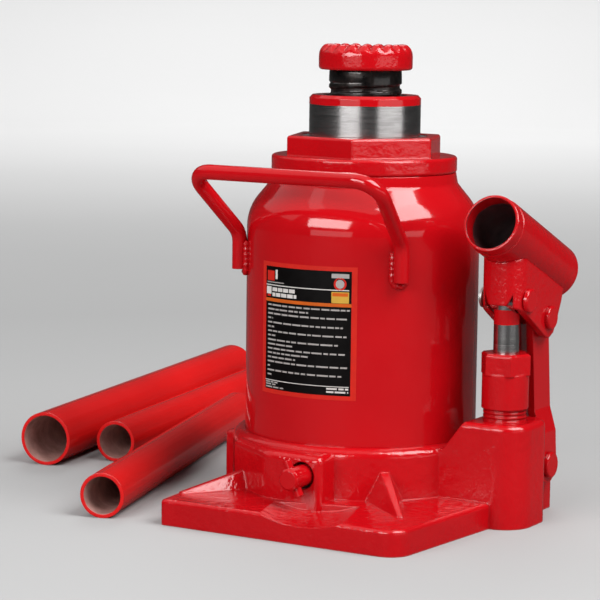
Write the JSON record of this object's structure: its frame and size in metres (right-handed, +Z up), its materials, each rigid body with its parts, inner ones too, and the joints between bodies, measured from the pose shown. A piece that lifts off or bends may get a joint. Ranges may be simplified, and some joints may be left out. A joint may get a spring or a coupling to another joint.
{
  "type": "hydraulic bottle jack",
  "caption": "Low-profile hydraulic bottle jack with hand pump, extension screw with serrated saddle, carry handle and loose handle tubes.",
  "frame": {"origin": "on the ram's axis at the underside of the foot plate", "axes": "+Z up along the ram, -Y the front with the release valve and carry handle, +X the pump side"},
  "size_m": [0.2931, 0.3087, 0.1914],
  "materials": {
    "red_paint": "gloss",
    "ground_steel": "polished",
    "black_steel": "oiled",
    "plain_steel": "satin",
    "seal_rubber": "matte",
    "copper": "satin",
    "label_film": "satin"
  },
  "bodies": {
    "jack_body": {"base_casting": "red_paint", "reservoir_tank": "red_paint", "tank_seal_lower": "seal_rubber", "top_nut": "red_paint", "gland_seal": "seal_rubber", "wiper_ring": "seal_rubber", "cylinder_tube": "ground_steel", "cylinder_gasket": "seal_rubber", "carry_handle": "red_paint", "label_plate": "label_film", "filler_plug": "seal_rubber", "pump_cylinder": "red_paint", "pump_washer": "copper", "pump_gland_seal": "seal_rubber", "strainer": "plain_steel", "delivery_plug": "black_steel", "overload_plug": "black_steel", "release_packing": "seal_rubber", "link_pin": "red_paint", "link_pin_ring": "plain_steel"},
    "ram": {"ram": "ground_steel", "piston_backup_ring": "seal_rubber", "piston_cup": "seal_rubber", "piston_nut": "plain_steel"},
    "screw_carrier": {"screw_stop_ring": "black_steel"},
    "screw": {"extension_screw": "black_steel", "saddle": "red_paint"},
    "plunger": {"pump_plunger": "ground_steel", "plunger_cup": "seal_rubber"},
    "link": {"link_plate_inner": "red_paint", "link_plate_outer": "red_paint"},
    "socket": {"handle_socket": "red_paint", "socket_yoke": "red_paint", "yoke_pin_front": "red_paint", "yoke_pin_rear": "red_paint", "yoke_pin_rings": "plain_steel"},
    "release_ball": {"release_ball": "ground_steel"},
    "release_spindle": {"release_spindle": "red_paint", "release_cross_pin": "red_paint"},
    "suction_ball": {"suction_ball": "ground_steel"},
    "delivery_ball": {"delivery_ball": "ground_steel", "delivery_spring": "plain_steel"},
    "overload_ball": {"overload_ball": "ground_steel", "overload_spring": "plain_steel"},
    "handle_large": {"handle_tube_large": "red_paint"},
    "handle_small_1": {"handle_tube_small_1": "red_paint"},
    "handle_small_2": {"handle_tube_small_2": "red_paint"}
  },
  "joints": [
    {"name": "ram_lift", "type": "slide", "parent": "jack_body", "child": "ram", "axis": [0, 0, 1], "range_m": [-0.013, 0.0515]},
    {"name": "screw_travel", "type": "slide", "parent": "ram", "child": "screw_carrier", "axis": [0, 0, 1], "range_m": [-0.0101, 0.0333]},
    {"name": "screw_turn", "type": "hinge", "parent": "screw_carrier", "child": "screw", "pos_m": [0, 0, 0.1807], "axis": [0, 0, 1], "range_deg": [-909, 2997]},
    {"name": "link_swing", "type": "hinge", "parent": "jack_body", "child": "link", "pos_m": [0.07, 0.0205, 0.02], "axis": [1, 0, 0], "range_deg": [-3.3, 2.75]},
    {"name": "socket_swing", "type": "hinge", "parent": "link", "child": "socket", "pos_m": [0.07, 0.0145, 0.082], "axis": [1, 0, 0], "range_deg": [-22.5, 27]},
    {"name": "plunger_stroke", "type": "slide", "parent": "jack_body", "child": "plunger", "axis": [0, 0, 1], "range_m": [-0.0085, 0.0071]},
    {"name": "release_travel", "type": "slide", "parent": "jack_body", "child": "release_ball", "axis": [0, -1, 0], "range_m": [0, 0.00151]},
    {"name": "release_turn", "type": "hinge", "parent": "release_ball", "child": "release_spindle", "pos_m": [0.0084, -0.0686, 0.0213], "axis": [0, -1, 0], "range_deg": [0, 360]},
    {"name": "suction_lift", "type": "slide", "parent": "jack_body", "child": "suction_ball", "axis": [0, 0, 1], "range_m": [0, 0.0012]},
    {"name": "delivery_lift", "type": "slide", "parent": "jack_body", "child": "delivery_ball", "axis": [0, 0, -1], "range_m": [0, 0.0012], "stiffness_N_per_m": 200, "springref_m": -0.003, "deforming": ["delivery_spring"]},
    {"name": "overload_lift", "type": "slide", "parent": "jack_body", "child": "overload_ball", "axis": [0, 0, -1], "range_m": [0, 0.0012], "stiffness_N_per_m": 400, "springref_m": -0.003, "deforming": ["overload_spring"]},
    {"name": "large_tube_lift", "type": "slide", "parent": "jack_body", "child": "handle_large", "axis": [0, 0, 1], "range_m": [0, 0.06]},
    {"name": "small_tube_1_lift", "type": "slide", "parent": "jack_body", "child": "handle_small_1", "axis": [0, 0, 1], "range_m": [0, 0.06]},
    {"name": "small_tube_2_lift", "type": "slide", "parent": "jack_body", "child": "handle_small_2", "axis": [0, 0, 1], "range_m": [0, 0.06]}
  ],
  "couplings": [
    {"joint": "screw_travel", "follows": "screw_turn", "m_per_rad": 0.00063662},
    {"joint": "link_swing", "follows": "socket_swing", "ratio": -0.1213},
    {"joint": "plunger_stroke", "follows": "socket_swing", "m_per_rad": -0.01784},
    {"joint": "release_travel", "follows": "release_turn", "m_per_rad": 0.00024}
  ]
}
